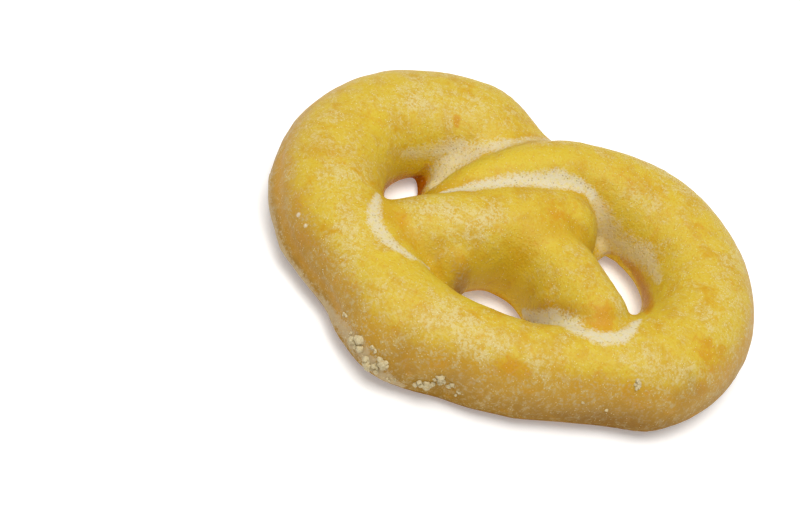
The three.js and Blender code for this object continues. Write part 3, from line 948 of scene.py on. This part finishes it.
def buildCrumbTree():
    tree, given, result = newTree("glazeCrumbs", [
        ("Lump Size", "NodeSocketFloat", crumbs["lumpSize"]),
        ("Lump Height", "NodeSocketFloat", crumbs["lumpHeight"]),
        ("Wash", "NodeSocketMaterial", None),
    ])
    lump = addNode(tree, "GeometryNodeMeshIcoSphere", {}, Radius=1.0, Subdivisions=crumbs["levels"])
    girth = storedValue(tree, "girth")
    turn = storedValue(tree, "turn", "FLOAT_VECTOR")
    points = addNode(tree, "GeometryNodeMeshToPoints", {}, Mesh=given["Geometry"]).outputs[0]
    sat = addNode(tree, "GeometryNodeInstanceOnPoints", {}, Points=points, Instance=lump.outputs[0])
    tree.links.new(turn, sat.inputs["Rotation"])
    tree.links.new(girth, sat.inputs["Scale"])
    real = addNode(tree, "GeometryNodeRealizeInstances", {}, Geometry=sat.outputs[0]).outputs[0]

    # each lump is uneven, and no two alike
    here = tree.nodes.new("GeometryNodeInputPosition").outputs[0]
    normal = tree.nodes.new("GeometryNodeInputNormal").outputs[0]
    scale = doMath(tree, "DIVIDE", 1 / mm, given["Lump Size"])
    bumps = addNode(tree, "ShaderNodeTexNoise", {}, Vector=here, Scale=scale, Detail=1.0).outputs[0]
    rise = doMath(tree, "MULTIPLY", doMath(tree, "SUBTRACT", bumps, 0.5), given["Lump Height"])
    rise = doMath(tree, "MULTIPLY", rise, mm)
    push = addNode(tree, "ShaderNodeVectorMath", {"operation": "SCALE"}, i0=normal, Scale=rise).outputs[0]
    moved = addNode(tree, "GeometryNodeSetPosition", {}, Geometry=real, Offset=push).outputs[0]
    smooth = addNode(tree, "GeometryNodeSetShadeSmooth", {}, Geometry=moved).outputs[0]
    done = addNode(tree, "GeometryNodeSetMaterial", {}, Geometry=smooth, Material=given["Wash"]).outputs[0]
    tree.links.new(done, result.inputs[0])
    return tree


washMaterial = bpy.data.materials.new("driedWash")
washMaterial.use_nodes = True
wash = washMaterial.node_tree
washShader = wash.nodes["Principled BSDF"]
washShader.inputs["Roughness"].default_value = crumbs["roughness"]
washShader.inputs["Specular IOR Level"].default_value = crumbs["gloss"]
washPlace = wash.nodes.new("ShaderNodeTexCoord").outputs["Object"]
washLook = {"Scale": crumbs["grainsPerMetre"], "Detail": 2.0}
washGrain = addNode(wash, "ShaderNodeTexNoise", {}, Vector=washPlace, **washLook).outputs[0]
washRange = {"i1": crumbs["creamFrom"], "i2": crumbs["creamTo"]}
washMix = addNode(wash, "ShaderNodeMapRange", {}, i0=washGrain, **washRange).outputs[0]
washTones = {"i6": tone(crumbs["white"]), "i7": tone(crumbs["cream"])}
washColour = addNode(wash, "ShaderNodeMix", {"data_type": "RGBA"}, i0=washMix, **washTones).outputs[2]
wash.links.new(washColour, washShader.inputs["Base Color"])
washBump = addNode(wash, "ShaderNodeBump", {}, Height=washGrain, **crumbs["bump"]).outputs[0]
wash.links.new(washBump, washShader.inputs["Normal"])

crumbModifier = crumbObject.modifiers.new("crumbs", "NODES")
crumbModifier.node_group = buildCrumbTree()
setInput(crumbModifier, "Lump Size", crumbs["lumpSize"])
setInput(crumbModifier, "Lump Height", crumbs["lumpHeight"])
setInput(crumbModifier, "Wash", washMaterial)
crumbMesh = plainMesh(crumbObject, "glazeCrumbs")
crumbObject.modifiers.clear()
crumbObject.data = crumbMesh
for label in ("girth", "turn"):
    if label in crumbMesh.attributes:
        crumbMesh.attributes.remove(crumbMesh.attributes[label])
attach(crumbObject, "root")
print("crumbs:", len(seats), "lumps,", len(crumbMesh.polygons), "faces")

# the camera of the photograph, fitted to the outline and the openings
shot = {
    "azimuth": -0.149, "elevation": 45.857, "roll": 24.148,
    "distance": 240.0, "focal": 1777.545,  # mm, px
    "aim": (0.0, 0.0, 6.0), "aimPixel": (511.179, 248.923),
    "frame": (800, 521), "sensor": 36.0,
    "clip": (0.01, 10),
}
azimuth, elevation, roll = (math.radians(shot[key]) for key in ("azimuth", "elevation", "roll"))
flat = math.cos(elevation)
back = Vector((math.sin(azimuth) * flat, -math.cos(azimuth) * flat, math.sin(elevation)))
right = Vector((math.cos(azimuth), math.sin(azimuth), 0))
up = back.cross(right)
across = math.cos(roll) * right + math.sin(roll) * up
upward = -math.sin(roll) * right + math.cos(roll) * up
pixelRight, pixelDown = (pixel - side / 2 for pixel, side in zip(shot["aimPixel"], shot["frame"]))
toAim = Vector((pixelRight / shot["focal"], -pixelDown / shot["focal"], -1)).normalized()
aside = Vector((0, 0, -1)).rotation_difference(toAim).to_matrix()
facing = aside @ Matrix((across, upward, back))
cameraPlace = (Vector(shot["aim"]) + back * shot["distance"]) * mm
cameraData = bpy.data.cameras.new("camera")
cameraData.sensor_width = shot["sensor"]
cameraData.lens = shot["focal"] * shot["sensor"] / shot["frame"][0]
cameraData.clip_start, cameraData.clip_end = shot["clip"]
camera = newObject("camera", cameraData)
camera.matrix_world = Matrix.Translation(cameraPlace) @ facing.transposed().to_4x4()
bpy.context.scene.camera = camera

# floor and light
studio = {
    "floorSize": 3.0, "floorDrop": 0.0001, "floorTone": 0.86, "floorRoughness": 0.9, "floorGlow": 0.25,
    "world": 0.35,
    "light": {"place": (0.0, -0.08, 0.8), "size": 0.6, "power": 7.15, "tint": (1.0, 0.99, 0.97)},
}
white = (1, 1, 1, 1)
bpy.ops.mesh.primitive_plane_add(size=studio["floorSize"], location=(0, 0, -studio["floorDrop"]))
floor = bpy.context.object
floor.name = "floor"
floorMaterial = bpy.data.materials.new("paleFloor")
floorMaterial.use_nodes = True
floorLook = floorMaterial.node_tree.nodes["Principled BSDF"].inputs
floorLook["Base Color"].default_value = (studio["floorTone"],) * 3 + (1,)
floorLook["Roughness"].default_value = studio["floorRoughness"]
floorLook["Emission Color"].default_value = white
floorLook["Emission Strength"].default_value = studio["floorGlow"]
floor.data.materials.append(floorMaterial)
floor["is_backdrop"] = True
world = bpy.data.worlds.new("studio")
bpy.context.scene.world = world
world.use_nodes = True
worldLook = world.node_tree.nodes["Background"].inputs
worldLook["Color"].default_value = white
worldLook["Strength"].default_value = studio["world"]

softLight = studio["light"]
lamp = bpy.data.lights.new("keyLight", "AREA")
lamp.size = softLight["size"]
lamp.energy = softLight["power"]
lamp.color = softLight["tint"]
lampObject = newObject("keyLight", lamp)
lampObject.location = softLight["place"]
lampObject.rotation_mode = "QUATERNION"
lampObject.rotation_quaternion = (-Vector(softLight["place"])).to_track_quat("-Z", "Y")
bpy.context.scene.view_settings.view_transform = "Standard"
print("camera, floor and light placed")

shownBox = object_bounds()
for label, corners in (("cad box", cadBox), ("shown box", shownBox)):
    print(label, [[round(v / mm, 2) for v in corner] for corner in corners])
